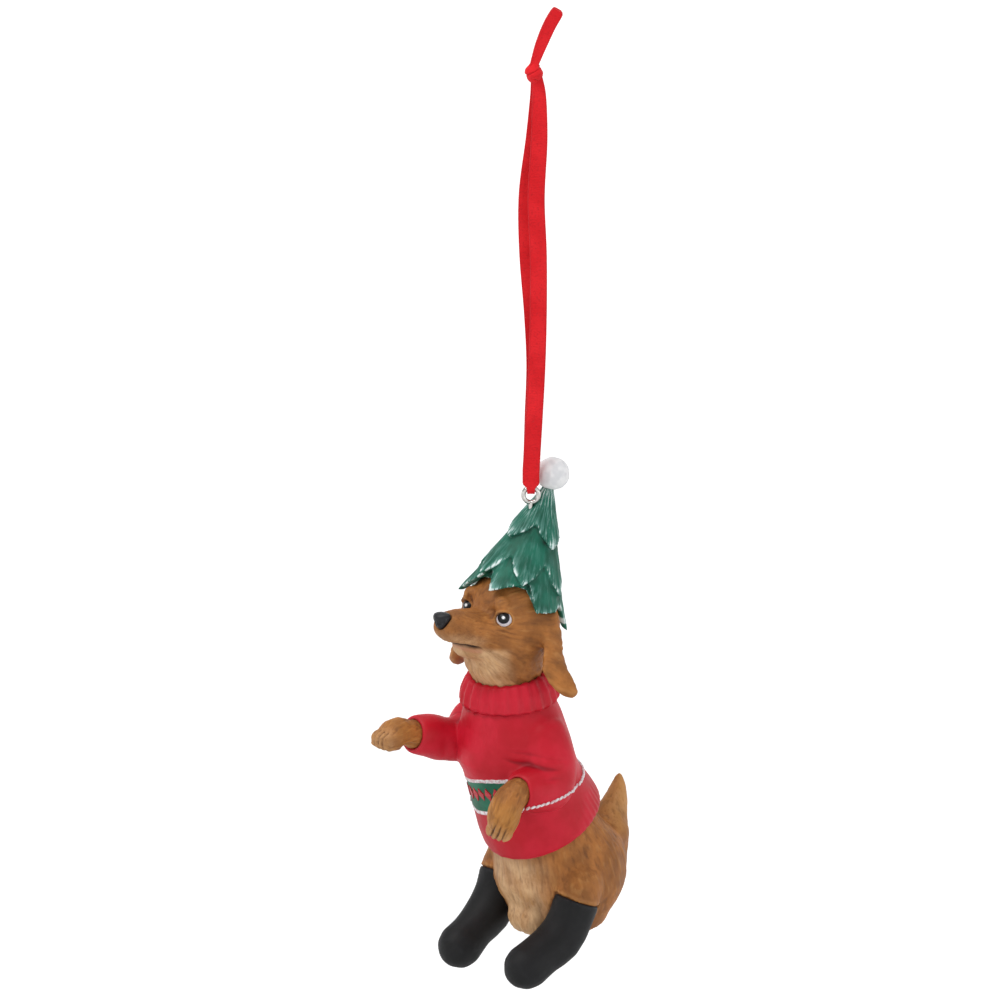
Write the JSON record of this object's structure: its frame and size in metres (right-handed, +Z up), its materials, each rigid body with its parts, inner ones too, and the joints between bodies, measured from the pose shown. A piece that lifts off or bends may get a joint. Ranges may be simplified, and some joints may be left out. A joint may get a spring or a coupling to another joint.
{
  "type": "hanging dog ornament",
  "caption": "Painted resin dog figure in a conifer hat, sweater and boots, hung by a metal eye from a knotted ribbon loop on which it swings and twists.",
  "frame": {"origin": "inside top of the ribbon loop, just under the knot, where a hook or a twig carries it", "axes": "+Z up along the hanging ribbon, the dog faces -Y and its left side is +X"},
  "size_m": [0.0322, 0.0531, 0.189],
  "materials": {
    "ribbon": "soft red velvet-faced ribbon",
    "nickel": "bright nickel plate",
    "fir_paint": "satin green paint on cast resin, dry-brushed pale on its edges",
    "snow_paint": "matte white paint on cast resin",
    "fur_paint": "satin brown paint on cast resin, washed darker in its fur strokes",
    "black_paint": "satin black paint on cast resin",
    "eye_gloss": "gloss painted eye",
    "sweater_paint": "satin red paint on cast resin"
  },
  "bodies": {
    "ribbon": {"ribbon_front_strand": "ribbon", "ribbon_back_strand": "ribbon", "ribbon_knot": "ribbon", "ribbon_end_front": "ribbon", "ribbon_end_back": "ribbon"},
    "bight": {"ribbon_bight": "ribbon"},
    "figure": {"eye_pin": "nickel", "tree_hat": "fir_paint", "hat_pompom": "snow_paint", "head": "fur_paint", "left_ear": "fur_paint", "right_ear": "fur_paint", "nose": "black_paint", "left_eye": "eye_gloss", "right_eye": "eye_gloss", "sweater_collar": "sweater_paint", "sweater_body": "sweater_paint", "left_sleeve": "sweater_paint", "right_sleeve": "sweater_paint", "left_forepaw": "fur_paint", "right_forepaw": "fur_paint", "hips": "fur_paint", "tail": "fur_paint", "left_boot": "black_paint", "right_boot": "black_paint"}
  },
  "joints": [
    {"name": "ribbon_twist", "type": "hinge", "parent": "ribbon", "child": "bight", "pos_m": [0, 0, -0.076], "axis": [0, 0, 1], "range_deg": [-120, 120], "stiffness_Nm_per_rad": 0.0004},
    {"name": "figure_swing", "type": "hinge", "parent": "bight", "child": "figure", "pos_m": [0, 0, -0.079], "axis": [0.6428, 0.766, 0], "range_deg": [-60, 8]}
  ]
}
